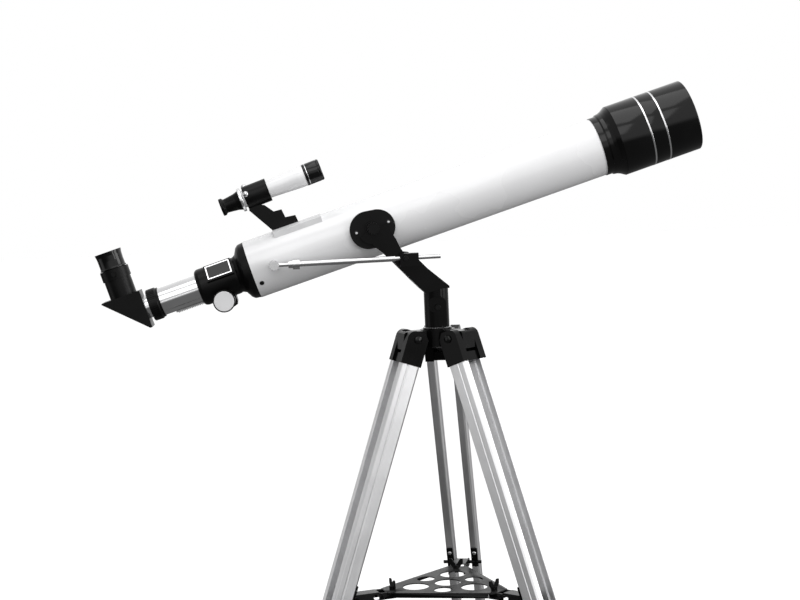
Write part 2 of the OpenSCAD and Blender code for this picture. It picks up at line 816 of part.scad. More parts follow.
// Block that the rod slides through; its slot lets the rod's line rise and fall
module rod_clamp() {
    slot_low = -sleeve_r - 4.6;
    slot_high = sleeve_r + 1.8;
    color("#161616") on_head() translate([rod_clamp_x, 0, rod_clamp_z]) {
        difference() {
            block([-12.5, rod_y - 7, -11], [12.5, -arm_out_y - gap, 6.6]);
            block([-14, rod_y - sleeve_r - gap, slot_low], [14, rod_y + sleeve_r + gap, slot_high]);
            translate([clamp_screw_x, 0, 0]) rod_y(rod_y - 20, rod_y, clamp_screw_r + running, 32);
        }
        rod_y(-arm_out_y - gap - eps, -arm_in_y + 1, rod_clamp_pin_r);
    }
}

module rod_clamp_screw() {
    color("#202020") on_head() translate([rod_clamp_x + clamp_screw_x, 0, rod_clamp_z]) {
        rod_y(rod_y - 8, rod_y - sleeve_r - gap, clamp_screw_r, 32);
        rod_y(rod_y - 11, rod_y - 7.3, 3.4);
    }
}

// Rod frame: origin on the eye that turns on the tube's stud, +X towards the clamp
module on_rod() {
    eye = [-pivot_back + rod_eye_s * cos(tube_elevation) - rod_eye_t * sin(tube_elevation), rod_y,
        head_z + pivot_height + rod_eye_s * sin(tube_elevation) + rod_eye_t * cos(tube_elevation)];
    slope = atan2(head_z + rod_clamp_z - eye[2], rod_clamp_x - eye[0]);
    translate(eye) rotate([0, -slope, 0]) children();
}

module altitude_rod() {
    length = rod_end_x + pivot_back - rod_eye_s * cos(tube_elevation);
    color("#b8b8b8") on_rod() difference() {
        union() {
            rod_x(rod_eye_r - 1, length, rod_r, 48);
            rod_x(26, sleeve_end, sleeve_r, 48);
            rod_x(19, 25, 5, 48);
            rod_x(25, 34, rod_eye_r, 24);
            rod_y(-3, 3, rod_eye_r);
        }
        rod_y(-4, 4, stud_r + running);
    }
}

module rod_stud() {
    color("#c8c8c8") on_tube() translate([rod_eye_s, 0, rod_eye_t]) {
        difference() {
            rod_y(rod_y - 4, -tube_r + 6, stud_r);
            translate([-rod_eye_s, 0, -rod_eye_t]) rod_x(-200, -100, tube_r, 128);
        }
        rod_y(rod_y - 8, rod_y - 3 - gap, 6);
        difference() {
            rod_y(rod_y + 3 + gap, -tube_r + 4, 5);
            translate([-rod_eye_s, 0, -rod_eye_t]) rod_x(-200, -100, tube_r, 128);
        }
    }
}

// ---- tripod head ----

module tripod_head() {
    lug_top = -head_top_drop - 0.6;
    lug_root = 8;
    hub_low = -26;
    lug = [[lug_root, lug_top], [50.5, lug_top], [53, lug_top - 2], [56.5, -27.5], [40, -29.5], [30, -29.5],
        [28, hub_low + 2], [lug_root, hub_low + 2]];
    color("#141414") on_head() difference() {
        union() {
            translate([0, 0, hub_low]) cylinder(h = -hub_low - head_top_drop, r = head_r, $fn = 96);
            translate([0, 0, -head_top_drop - eps]) cylinder(h = 2 + eps, r = 20, $fn = 96);
            for (leg = [1:leg_count]) {
                rotate([0, 0, leg_azimuth - 120 * (leg - 1)]) slab(-lug_w / 2, lug_w / 2) polygon(lug);
            }
        }
        translate([0, 0, hub_low - 1]) cylinder(h = 50, r = azimuth_bolt_r + running, $fn = 48);
        translate([0, 0, hub_low - 1]) cylinder(h = 9, r = 12, $fn = 48);
        for (leg = [1:leg_count]) {
            rotate([0, 0, leg_azimuth - 120 * (leg - 1)]) translate([hinge_r, 0, -hinge_drop])
                rod_y(-40, 40, hinge_bolt_r + eps);
        }
    }
}

// Bolts on which the legs swing, and the azimuth bolt that the yoke turns on
module head_bolts() {
    bolt_l = leg_w / 2 + 1.2;
    color("#9a9a9a") on_head() {
        for (leg = [1:leg_count]) {
            rotate([0, 0, leg_azimuth - 120 * (leg - 1)]) translate([hinge_r, 0, -hinge_drop]) {
                rod_y(-bolt_l, bolt_l, hinge_bolt_r);
                for (side = [-1, 1]) {
                    rotate([-90 * side, 0, 0]) translate([0, 0, bolt_l]) pan_screw(5.5, 3.4, 3, 0);
                }
            }
        }
        translate([0, 0, -24]) cylinder(h = 56, r = azimuth_bolt_r, $fn = 48);
        translate([0, 0, -25]) cylinder(h = 6, r = 9, $fn = 6);
        translate([0, 0, -1]) cylinder(h = 1 - gap / 3, r = 18.5, $fn = 64);
    }
}

// ---- legs ----

// Section of one rail on the +Y side, with its lengthwise grooves and the lower leg's guide
module rail_section() {
    d = leg_depth / 2;
    y0 = rail_gap / 2;
    y1 = y0 + rail_w;
    polygon([
        [-d, y0 + 1], [-d + 1, y0], [inner_offset - tongue_h / 2 - gap, y0],
        [inner_offset - tongue_h / 2 - gap, y0 + tongue_w + gap],
        [inner_offset + tongue_h / 2 + gap, y0 + tongue_w + gap],
        [inner_offset + tongue_h / 2 + gap, y0], [d - 1, y0], [d, y0 + 1], [d, y0 + 3], [d - 0.8, y0 + 3.6],
        [d - 0.8, y0 + 5], [d, y0 + 5.6], [d, y1 - 2.5], [d - 2.5, y1], [5, y1], [4.2, y1 - 0.8], [2.6, y1 - 0.8],
        [1.8, y1], [-d + 2.5, y1], [-d, y1 - 2.5],
    ]);
}

module leg_rails(leg) {
    wall = 1.4;
    hollow = [leg_depth / 2 - wall, rail_gap / 2 + tongue_w + gap + wall, leg_w / 2 - wall - 0.8];
    color("#c4c4c4") on_leg(leg) for (side = [0, 1]) {
        mirror([0, side, 0]) translate([0, 0, -rail_length]) difference() {
            linear_extrude(rail_length + rail_top) rail_section();
            block([-hollow[0], hollow[1], -1], [hollow[0], hollow[2], rail_length + rail_top + 1]);
        }
    }
}

module leg_fittings(leg) {
    cheek_low = -35.8;
    cheek_y0 = lug_w / 2 + gap / 2;
    cheek_y1 = leg_w / 2 + 1.1;
    rim = leg_depth / 2 + 1.2;
    corner_r = 11;
    cheek = concat([[-rim, cheek_low], [rim, cheek_low]], arc([rim - corner_r, 0], corner_r, 0, 90, 8),
        [[-8, 11], [-rim, 3]]);
    color("#131313") on_leg(leg) for (side = [0, 1]) {
        mirror([0, side, 0]) {
            difference() {
                slab(cheek_y0, cheek_y1) polygon(cheek);
                translate([0, 0, cheek_low - 1]) linear_extrude(rail_top - cheek_low + 1) rail_section();
                rod_y(-60, 60, hinge_bolt_r + running);
            }
            spreader_bracket();
        }
    }
    color("#131313") on_leg(leg) {
        block([-11, -cheek_y0 - eps, cheek_low], [12, cheek_y0 + eps, -23]);
        leg_clamp();
        translate([spreader_pin_w, 0, -spreader_down]) rod_y(-28.3, 28.3, spreader_pin_r);
    }
}

// Plate screwed to one rail, with the ear that carries the spreader's pin
module spreader_bracket() {
    face = -leg_depth / 2;
    plate_t = 1.6;
    z = -spreader_down;
    block([face - plate_t, rail_gap / 2 + 0.8, z - 9], [face, leg_w / 2 - 0.7, z + 22]);
    difference() {
        block([spreader_pin_w - 4.5, 19, z - 6], [face - plate_t + eps, 21, z + 6]);
        translate([spreader_pin_w, 0, z]) rod_y(0, 40, spreader_pin_r + eps);
    }
    translate([face - plate_t, rail_gap / 2 + 5.5, z + 14]) rotate([0, -90, 0]) pan_screw(3, 2, 1.5, 0);
}

// Clamp that joins the rails' lower ends and grips the lower leg
module leg_clamp() {
    low = -rail_length - 2;
    high = -rail_length + 30;
    rim = leg_depth / 2 + 2.4;
    half = leg_w / 2 + 2.4;
    difference() {
        block([-rim, -half, low], [rim, half, high]);
        translate([0, 0, -rail_length]) linear_extrude(60) union() {
            for (side = [0, 1]) {
                mirror([0, side]) rail_section();
            }
        }
        lower_leg_space(gap, low - 1, high + 1);
        translate([0, 0, -rail_length + 14]) rod_x(0, rim + 1, 3 + running, 32);
        block([-rim - 1, -half - 1, low + 12], [-rim + 1.6, half + 1, high - 12]);
    }
}

// The lower leg's section, grown by a clearance, between two places along the leg
module lower_leg_space(grow, z0, z1) {
    w0 = inner_offset - inner_depth / 2 - grow;
    w1 = inner_offset + inner_depth / 2 + grow;
    y = inner_w / 2 + grow;
    block([w0, -y, z0], [w1, y, z1]);
    block([inner_offset - tongue_h / 2 - grow, -y - tongue_w, z0],
        [inner_offset + tongue_h / 2 + grow, y + tongue_w, z1]);
}

module leg_lower(leg) {
    wall = 1.4;
    color("#b8b8b8") on_leg(leg) difference() {
        lower_leg_space(0, inner_end, inner_top);
        block([inner_offset - inner_depth / 2 + wall, -inner_w / 2 + wall, inner_end - 1],
            [inner_offset + inner_depth / 2 - wall, inner_w / 2 - wall, inner_top + 1]);
    }
}

// Moulded shoe on the lower leg, cut level with the floor
module leg_foot(leg) {
    skin = 2;
    half_w = inner_depth / 2 + skin;
    half_y = inner_w / 2 + tongue_w + skin;
    color("#161616") difference() {
        on_leg(leg) difference() {
            block([inner_offset - half_w, -half_y, -leg_length - 20], [inner_offset + half_w, half_y, foot_top]);
            lower_leg_space(0, inner_end, foot_top + 1);
        }
        translate([-leg_length, -leg_length, -100]) cube([2 * leg_length, 2 * leg_length, 100]);
    }
}

module leg_lock_screw(leg) {
    seat = leg_depth / 2 + 2.4;
    tip = inner_offset + inner_depth / 2 + gap;
    color("#1c1c1c") on_leg(leg) translate([seat + 1, 0, -rail_length + 14])
        rotate([0, 90, 0]) wing_screw(3, seat + 1 - tip, 6.5, 9, 15, 15);
}

// ---- spreader and tray ----

// Channel-shaped brace: its flanges turn on the leg's pin and slide on the tray's pin
module leg_brace(leg) {
    reach = pin_r - tray_pin_r;
    slot_half = tray_pin_rod_r + 1.6;
    slot_in = -reach - 3.7;
    slot_out = -reach + 7.9;
    inner = slot_in - slot_half - 1.4;
    web_top = brace_half_h + brace_t;
    web_in = -39;
    flange = concat(arc([0, 0], 6, -90, 90, 12), [[-6, web_top], [web_in, web_top], [web_in - 2, brace_half_h]],
        arc([inner + brace_half_h, 0], brace_half_h, 90, 270, 8));
    color("#1a1a1a") rotate([0, 0, leg_azimuth - 120 * (leg - 1)]) translate([pin_r, 0, pin_z]) {
        difference() {
            for (side = [0, 1]) {
                mirror([0, side, 0]) slab(-brace_half_w, -brace_half_w + brace_t) polygon(flange);
            }
            rod_y(-20, 20, spreader_pin_r + running);
            block([slot_in, -20, -slot_half], [slot_out, 20, slot_half]);
            for (end = [slot_in, slot_out]) {
                translate([end, 0, 0]) rod_y(-20, 20, slot_half);
            }
        }
        block([web_in, -brace_half_w + eps, brace_half_h], [-6, brace_half_w - eps, web_top]);
    }
}

// Outline of the tray: a triangle with its corners cut off
module tray_outline() {
    half = (2 * tray_side - tray_corner_r) * tan(30);
    polygon([for (leg = [1:leg_count], side = [1, -1]) let (a = leg_azimuth - 120 * (leg - 1))
        [tray_corner_r * cos(a) - side * half * sin(a), tray_corner_r * sin(a) + side * half * cos(a)]]);
}

module accessory_tray() {
    ear_y0 = brace_half_w + gap;
    ear_y1 = ear_y0 + 1.6;
    color("#3c3c3c") translate([0, 0, tray_top - tray_t]) {
        difference() {
            linear_extrude(tray_t) tray_outline();
            translate([0, 0, -1]) cylinder(h = tray_t + 2, r = tray_hole_d / 2);
            for (leg = [1:leg_count]) {
                rotate([0, 0, leg_azimuth - 120 * (leg - 1)]) {
                    translate([hole_ring_r, 0, -1]) cylinder(h = tray_t + 2, r = tray_hole_d / 2);
                    translate([-small_hole_ring_r, 0, -1]) cylinder(h = tray_t + 2, r = tray_small_hole_d / 2);
                    translate([wing_screw_r, 0, -1]) cylinder(h = tray_t + 2, r = 2.5);
                }
            }
        }
        for (leg = [1:leg_count]) {
            rotate([0, 0, leg_azimuth - 120 * (leg - 1)]) {
                block([-tray_side, -tray_lip_l / 2, tray_t - tray_lip_h], [-tray_side + 1.5, tray_lip_l / 2, tray_t / 2]);
                for (side = [-1, 1]) {
                    mirror([0, side < 0 ? 1 : 0, 0])
                        block([tray_corner_r - 12, ear_y0, -8], [tray_pin_r + 4, ear_y1, tray_t]);
                }
                translate([tray_pin_r, 0, pin_z - tray_top + tray_t]) rod_y(-ear_y1 - 1, ear_y1 + 1, tray_pin_rod_r);
            }
        }
    }
}

module tray_wing_screws() {
    color("#181818") for (leg = [1:leg_count]) {
        rotate([0, 0, leg_azimuth - 120 * (leg - 1)]) translate([wing_screw_r, 0, tray_top])
            rotate([0, 0, 90]) wing_screw(2.5, 6, 4.5, 5, 10, 14);
    }
}

main_tube();
objective_cell();
objective_lenses();
inner_rings();
dew_shield();
dew_shield_rings();
focuser_housing();
pinion_cover();
name_badge();
drawtube();
focus_rack();
drawtube_collar();
focus_pinion();
focus_knobs();
knob_caps();
diagonal_housing();
diagonal_barrel();
diagonal_mirror();
eyepiece_thumbscrew();
eyepiece_body();
eyepiece_lenses();
finder_saddle();
finder_bracket();
finder_screws();
finder_tube();
finder_cell();
finder_eyepiece();
finder_lenses();
trunnion_plates();
tube_screws();
yoke();
altitude_screw_near();
altitude_screw_far();
azimuth_lock_screw();
rod_clamp();
rod_clamp_screw();
altitude_rod();
rod_stud();
tripod_head();
head_bolts();
accessory_tray();
tray_wing_screws();
leg_rails(1);  // leg_1_rails
leg_fittings(1);  // leg_1_fittings
leg_lock_screw(1);  // leg_1_lock_screw
leg_lower(1);  // leg_1_lower
leg_foot(1);  // leg_1_foot
leg_brace(1);  // leg_1_brace
leg_rails(2);  // leg_2_rails
leg_fittings(2);  // leg_2_fittings
leg_lock_screw(2);  // leg_2_lock_screw
leg_lower(2);  // leg_2_lower
leg_foot(2);  // leg_2_foot
leg_brace(2);  // leg_2_brace
leg_rails(3);  // leg_3_rails
leg_fittings(3);  // leg_3_fittings
leg_lock_screw(3);  // leg_3_lock_screw
leg_lower(3);  // leg_3_lower
leg_foot(3);  // leg_3_foot
leg_brace(3);  // leg_3_brace
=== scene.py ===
import json
import math
import bmesh
import bpy
from mathutils import Matrix, Vector

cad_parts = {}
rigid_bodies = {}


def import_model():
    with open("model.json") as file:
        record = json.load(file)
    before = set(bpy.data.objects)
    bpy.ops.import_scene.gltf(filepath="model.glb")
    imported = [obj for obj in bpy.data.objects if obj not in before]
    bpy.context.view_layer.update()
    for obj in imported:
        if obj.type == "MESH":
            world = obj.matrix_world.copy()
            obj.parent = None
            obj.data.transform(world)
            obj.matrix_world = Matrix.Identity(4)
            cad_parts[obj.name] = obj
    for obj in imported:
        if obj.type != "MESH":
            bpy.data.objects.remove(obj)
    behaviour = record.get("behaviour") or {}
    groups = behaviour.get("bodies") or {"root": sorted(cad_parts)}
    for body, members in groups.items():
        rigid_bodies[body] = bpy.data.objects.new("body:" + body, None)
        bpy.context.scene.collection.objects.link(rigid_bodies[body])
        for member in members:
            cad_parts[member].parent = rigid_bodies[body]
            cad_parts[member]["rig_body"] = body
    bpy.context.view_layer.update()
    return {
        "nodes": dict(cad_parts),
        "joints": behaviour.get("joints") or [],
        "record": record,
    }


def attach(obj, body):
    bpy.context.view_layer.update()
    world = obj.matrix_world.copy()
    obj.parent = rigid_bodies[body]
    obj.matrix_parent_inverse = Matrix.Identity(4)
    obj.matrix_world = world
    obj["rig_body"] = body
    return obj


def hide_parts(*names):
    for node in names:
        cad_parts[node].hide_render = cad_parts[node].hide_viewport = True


# A refractor telescope on its yoke and tripod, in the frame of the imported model, in metres.

MM = 0.001

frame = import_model()
nodes = frame["nodes"]
joints = {joint["name"]: joint for joint in frame["joints"]}
PIVOT = Vector(joints["altitude"]["pos_m"])
TUBE_AXIS = Vector(joints["focus"]["axis"])
HEAD_Z = joints["azimuth"]["pos_m"][2]


# ---- frames ----

def frame_from(origin, x_axis, y_axis):
    """Matrix of a frame with that origin, +X along x_axis and +Y near y_axis."""
    x = Vector(x_axis).normalized()
    z = x.cross(Vector(y_axis)).normalized()
    y = z.cross(x)
    matrix = Matrix((x, y, z)).transposed().to_4x4()
    matrix.translation = Vector(origin)
    return matrix


# The tube's frame has its origin on the altitude axis and +X to the front
TUBE = frame_from(PIVOT, TUBE_AXIS, (0, 1, 0))

# The eyepiece's frame has its origin in the diagonal behind the tube, and +X up across the tube
EYE_PLACE = (-0.349, 0, 0)
EYE = TUBE @ Matrix.Translation(EYE_PLACE) @ Matrix.Rotation(math.radians(-90), 4, "Y")

# The badge's frame is the tube's, turned from the top towards the near side
BADGE_TURN = math.radians(52)
BADGE = TUBE @ Matrix.Rotation(BADGE_TURN, 4, "X")

# The finder aims a little higher than the tube
FINDER_TILT = math.radians(1.8)
FINDER = Matrix.Translation(Vector(joints["finder_aim"]["pos_m"])) @ (
    TUBE.to_3x3() @ Matrix.Rotation(-FINDER_TILT, 3, "Y")
).to_4x4()


def leg_frame(leg):
    """The leg's frame: origin on its hinge, +X outwards across it, +Z up along it."""
    hinge = joints["leg_fold" if leg == 1 else f"leg_{leg}_fold"]
    up = Vector(joints[f"leg_{leg}_retract"]["axis"])
    side = Vector(hinge["axis"])
    return frame_from(hinge["pos_m"], side.cross(up), side)


# ---- materials ----

def node_adder(tree):
    """A function that adds a node to that tree, with values on its inputs and its settings."""

    def add(kind, inputs=None, **settings):
        made = tree.nodes.new(kind)
        for key, value in settings.items():
            setattr(made, key, value)
        for key, value in (inputs or {}).items():
            made.inputs[key].default_value = value
        return made

    return add


def new_material(name):
    """A material with a Principled shader, and a function that adds nodes to it."""
    material = bpy.data.materials.new(name)
    material.use_nodes = True
    tree = material.node_tree
    return material, tree, tree.nodes["Principled BSDF"], node_adder(tree)


def object_noise(tree, add, scale, stretch=(1, 1, 1), detail=4.0):
    """Noise in the piece's own coordinates, stretched by axis."""
    coordinates = add("ShaderNodeTexCoord")
    mapping = add("ShaderNodeMapping", {"Scale": stretch})
    noise = add("ShaderNodeTexNoise", {"Scale": scale, "Detail": detail})
    tree.links.new(coordinates.outputs["Object"], mapping.inputs["Vector"])
    tree.links.new(mapping.outputs["Vector"], noise.inputs["Vector"])
    return noise


def vary(tree, add, noise, values, socket):
    """Drives a shader socket by noise, between two values."""
    spread = add("ShaderNodeMapRange", {
        "From Min": 0.3, "From Max": 0.7, "To Min": values[0], "To Max": values[1],
    })
    tree.links.new(noise.outputs["Fac"], spread.inputs["Value"])
    tree.links.new(spread.outputs["Result"], socket)


def tint(tree, add, noise, greys, socket):
    """Drives a colour socket by noise, between two greys with a trace of blue."""
    ramp = add("ShaderNodeValToRGB")
    for stop, position, grey in zip(ramp.color_ramp.elements, (0.35, 0.65), greys):
        stop.position = position
        stop.color = (grey, grey, grey * 1.01, 1)
    tree.links.new(noise.outputs["Fac"], ramp.inputs["Fac"])
    tree.links.new(ramp.outputs["Color"], socket)


def bump(tree, add, noise, strength, distance, shader):
    """Fine relief from noise."""
    relief = add("ShaderNodeBump", {"Strength": strength, "Distance": distance})
    tree.links.new(noise.outputs["Fac"], relief.inputs["Height"])
    tree.links.new(relief.outputs["Normal"], shader.inputs["Normal"])


def white_enamel():
    """Stoved gloss enamel with the faint orange peel of spray paint."""
    material, tree, shader, add = new_material("white_enamel")
    peel = object_noise(tree, add, 420.0, detail=2.0)
    patches = object_noise(tree, add, 9.0, detail=3.0)
    tint(tree, add, patches, (0.80, 0.84), shader.inputs["Base Color"])
    vary(tree, add, patches, (0.22, 0.30), shader.inputs["Roughness"])
    bump(tree, add, peel, 0.06, 0.0004, shader)
    shader.inputs["Coat Weight"].default_value = 0.5
    shader.inputs["Coat Roughness"].default_value = 0.08
    return material


def moulded(name, greys, roughness, grain, relief, coat=0.0, specular=0.5):
    """Moulded plastic, rubber or paint in one grey, with a fine grain and slightly uneven gloss."""
    material, tree, shader, add = new_material(name)
    fine = object_noise(tree, add, grain, detail=3.0)
    broad = object_noise(tree, add, 38.0, detail=4.0)
    tint(tree, add, broad, greys, shader.inputs["Base Color"])
    vary(tree, add, broad, roughness, shader.inputs["Roughness"])
    bump(tree, add, fine, relief, 0.0003, shader)
    shader.inputs["Coat Weight"].default_value = coat
    shader.inputs["Coat Roughness"].default_value = 0.12
    shader.inputs["Specular IOR Level"].default_value = specular
    return material


def turned_metal(name, greys, roughness, stretch, relief):
    """Metal with fine lines left by turning, drawing or polishing."""
    material, tree, shader, add = new_material(name)
    lines = object_noise(tree, add, 60.0, stretch, detail=6.0)
    broad = object_noise(tree, add, 24.0, detail=3.0)
    tint(tree, add, broad, greys, shader.inputs["Base Color"])
    vary(tree, add, lines, roughness, shader.inputs["Roughness"])
    bump(tree, add, lines, relief, 0.0001, shader)
    shader.inputs["Metallic"].default_value = 1.0
    return material


def optical_glass():
    """Coated lens glass with faint dust."""
    material, tree, shader, add = new_material("optical_glass")
    dust = object_noise(tree, add, 160.0, detail=6.0)
    vary(tree, add, dust, (0.01, 0.05), shader.inputs["Roughness"])
    shader.inputs["Base Color"].default_value = (0.72, 0.80, 0.84, 1)
    shader.inputs["Transmission Weight"].default_value = 0.9
    shader.inputs["IOR"].default_value = 1.5
    shader.inputs["Coat Weight"].default_value = 0.6
    return material


MATERIALS = {
    "white_enamel": white_enamel(),
    "black_gloss": moulded(
        "black_gloss", greys=(0.0022, 0.0032), roughness=(0.10, 0.16),
        grain=1500.0, relief=0.03, coat=0.04, specular=0.28),
    "black_satin": moulded(
        "black_satin", greys=(0.0028, 0.0045), roughness=(0.26, 0.36),
        grain=2600.0, relief=0.12, specular=0.13),
    # Black cast finish, also used as painted shade on the tray's faces below its top
    "black_cast_and_painted_shade": moulded(
        "black_cast_and_painted_shade", greys=(0.0020, 0.0030), roughness=(0.14, 0.20),
        grain=900.0, relief=0.04, coat=0.02, specular=0.09),
    "black_metal": moulded(
        "black_metal", greys=(0.003, 0.005), roughness=(0.22, 0.32),
        grain=700.0, relief=0.06, coat=0.04, specular=0.26),
    "chrome": turned_metal(
        "chrome", greys=(0.70, 0.78), roughness=(0.07, 0.14),
        stretch=(1, 14, 14), relief=0.03),
    "bright_trim": turned_metal(
        "bright_trim", greys=(0.78, 0.86), roughness=(0.16, 0.28),
        stretch=(10, 10, 10), relief=0.05),
    "knob_face": moulded(
        "knob_face", greys=(0.66, 0.72), roughness=(0.30, 0.42),
        grain=1500.0, relief=0.05, coat=0.2),
    "satin_aluminium": turned_metal(
        "satin_aluminium", greys=(0.78, 0.84), roughness=(0.32, 0.42),
        stretch=(22, 22, 0.6), relief=0.05),
    "steel": turned_metal(
        "steel", greys=(0.58, 0.66), roughness=(0.16, 0.28),
        stretch=(1, 12, 12), relief=0.05),
    "gear": turned_metal(
        "gear", greys=(0.24, 0.32), roughness=(0.30, 0.42),
        stretch=(4, 1, 4), relief=0.10),
    "tray_sheet": moulded(
        "tray_sheet", greys=(0.009, 0.013), roughness=(0.30, 0.40),
        grain=1100.0, relief=0.15, specular=0.14),
    # A light grey that is painted shade on the white finder saddle's near side
    "painted_shade_grey": moulded(
        "painted_shade_grey", greys=(0.60, 0.68), roughness=(0.35, 0.45),
        grain=1500.0, relief=0.05, specular=0.3),
    "rubber": moulded(
        "black_rubber", greys=(0.022, 0.034), roughness=(0.62, 0.78),
        grain=900.0, relief=0.3),
    "glass": optical_glass(),
    "mirror": turned_metal(
        "mirror", greys=(0.86, 0.9), roughness=(0.01, 0.03),
        stretch=(1, 1, 1), relief=0.0),
}
SLOTS = {part["node"]: part["material_slot"] for part in frame["record"]["subparts"]}


# ---- mesh helpers ----

# Angles between faces, in degrees: up to the first they are joined, past the second their edge is
# rounded, and past the last two the shading breaks, on CAD shapes and on turned ones
JOINED, ROUNDED = 0.4, 28
SHARP, TURNED_SHARP = 40, 35


def finish_mesh(obj, sharp):
    """Smooth shading, broken at edges sharper than that angle in degrees."""
    obj.data.polygons.foreach_set("use_smooth", [True] * len(obj.data.polygons))
    obj.data.set_sharp_from_angle(angle=math.radians(sharp))


def apply_modifiers(obj):
    """Replaces the mesh by what its modifiers make of it."""
    graph = bpy.context.evaluated_depsgraph_get()
    made = bpy.data.meshes.new_from_object(obj.evaluated_get(graph))
    obj.modifiers.clear()
    obj.data = made


def add_piece(name, mesh, body, material, *replaced, matrix=None):
    """Puts a mesh in the scene as a piece that rides on a body and stands for CAD nodes."""
    obj = bpy.data.objects.new(name, mesh)
    bpy.context.scene.collection.objects.link(obj)
    if matrix is not None:
        obj.matrix_world = matrix
    obj.data.materials.clear()
    obj.data.materials.append(MATERIALS[material])
    bpy.context.view_layer.update()
    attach(obj, body)
    if replaced:
        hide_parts(*replaced)
    return obj


def repaint(obj, material, test):
    """Gives another material to faces whose centre passes a test, in mm in the piece's frame."""
    obj.data.materials.append(MATERIALS[material])
    slot = len(obj.data.materials) - 1
    for face in obj.data.polygons:
        if test(face.center / MM):
            face.material_index = slot


def refined(node, matrix=None, bevel=0.45, material=None):
    """A CAD node's shape with flat facets joined and edges rounded, as a mould or a press does."""
    source = nodes[node]
    local = matrix or Matrix.Identity(4)
    mesh = bmesh.new()
    mesh.from_mesh(source.data)
    mesh.transform(local.inverted())
    bmesh.ops.remove_doubles(mesh, verts=mesh.verts, dist=1e-6)
    bmesh.ops.dissolve_limit(
        mesh, angle_limit=math.radians(JOINED), verts=mesh.verts, edges=mesh.edges)
    data = bpy.data.meshes.new(node + "_shape")
    mesh.to_mesh(data)
    mesh.free()
    slot = material or SLOTS[node]
    obj = add_piece(node + "_piece", data, source["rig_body"], slot, node, matrix=matrix)
    rounding = obj.modifiers.new("rounding", "BEVEL")
    rounding.width = bevel * MM
    rounding.segments = 2
    rounding.limit_method = "ANGLE"
    rounding.angle_limit = math.radians(ROUNDED)
    rounding.use_clamp_overlap = True
    apply_modifiers(obj)
    finish_mesh(obj, SHARP)
    flattening = obj.modifiers.new("flattening", "WEIGHTED_NORMAL")
    flattening.mode = "FACE_AREA"
    flattening.keep_sharp = True
    apply_modifiers(obj)
    return obj


def corner_rounded(points, radius, steps=3):
    """A closed outline whose corners are replaced by short curves."""
    rounded = []
    count = len(points)
    for i, point in enumerate(points):
        before = Vector(points[i - 1]) - Vector(point)
        after = Vector(points[(i + 1) % count]) - Vector(point)
        reach = min(radius, before.length * 0.45, after.length * 0.45)
        start = Vector(point) + before.normalized() * reach
        end = Vector(point) + after.normalized() * reach
        for step in range(steps + 1):
            t = step / steps
            rounded.append(start * (1 - t) ** 2 + Vector(point) * 2 * t * (1 - t) + end * t ** 2)
    return rounded


def lathe(name, profile, body, material, *replaced, matrix=TUBE, radius=0.4, sides=160):
    """Piece turned about its frame's X axis, from a closed outline of (radius, place) in mm."""
    outline = corner_rounded(profile, radius) if radius else [Vector(p) for p in profile]
    mesh = bmesh.new()
    rings = []
    for side in range(sides):
        angle = 2 * math.pi * side / sides
        rings.append([
            mesh.verts.new((p.y * MM, p.x * MM * math.cos(angle), p.x * MM * math.sin(angle)))
            for p in outline
        ])
    for side in range(sides):
        here, there = rings[side], rings[(side + 1) % sides]
        for i in range(len(outline)):
            j = (i + 1) % len(outline)
            if outline[i].x < 1e-6 and outline[j].x < 1e-6:
                continue
            mesh.faces.new((here[i], here[j], there[j], there[i]))
    bmesh.ops.remove_doubles(mesh, verts=mesh.verts, dist=1e-7)
    bmesh.ops.recalc_face_normals(mesh, faces=mesh.faces)
    data = bpy.data.meshes.new(name + "_shape")
    mesh.to_mesh(data)
    mesh.free()
    obj = add_piece(name, data, body, material, *replaced, matrix=matrix)
    finish_mesh(obj, TURNED_SHARP)
    return obj


# ---- the object ----

CAST = ("yoke", "tripod_head", "rod_clamp")
CAST_BEVEL = 0.9
LEG_BEVEL = 0.5

# The tube and the dew shield with its two stripes, in mm, with places from the altitude axis
TUBE_R, TUBE_IN_R = 40, 38.8
TUBE_BACK, TUBE_FRONT = -173, 345
SHIELD_R = 49.35
SHIELD_IN_R = 47.35
STRIPES = (398.5, 420)
STRIPE_WIDTH = 2.2
STRIPE_DEPTH = 0.4
STRIPE_RISE = 0.15

tray_matrix = nodes["accessory_tray"].matrix_world
TRAY_TOP = max((tray_matrix @ Vector(c)).z for c in nodes["accessory_tray"].bound_box)


def is_hinge_bolt(c):
    """Whether a place is on one of the legs' hinge bolts, and not on the azimuth's."""
    azimuth_bolt_reach = 22
    return math.hypot(c.x, c.y) > azimuth_bolt_reach


def is_bracket_screw(c):
    """Whether a place in a leg's frame is on the head of the screw in the spreader's bracket."""
    plate_face = -15.45
    low, high = -357, -346
    return c.x < plate_face and low < c.z < high


def is_badge_panel(c):
    """Whether a place in the badge's frame is on the panel inside its bright frame."""
    panel_height, panel_half_width = 26.8, 9.5
    return abs(c.z - panel_height) < 0.05 and abs(c.y) < panel_half_width


def is_near_side(c):
    """Whether a place in the tube's frame is on the finder saddle's near side, which gets painted
    shade in grey.
    """
    side_start = -10
    return c.y < side_start


def is_under_tray(c):
    """Whether a place is below the tray's upper face, on its edges, ears and lips, which get
    painted shade in near black.
    """
    face_depth = 1.6
    return c.z < TRAY_TOP / MM - face_depth


def is_plate_screw(c):
    """Whether a place in the tube's frame is on the middle of a pivot plate's screw head, where
    steel paints a highlight.
    """
    screw_place, screw_height, screw_radius, plate_face = 22.8, 1, 1.7, 46.2
    away = math.hypot(abs(c.x) - screw_place, c.z - screw_height)
    return abs(c.y) > plate_face and away < screw_radius


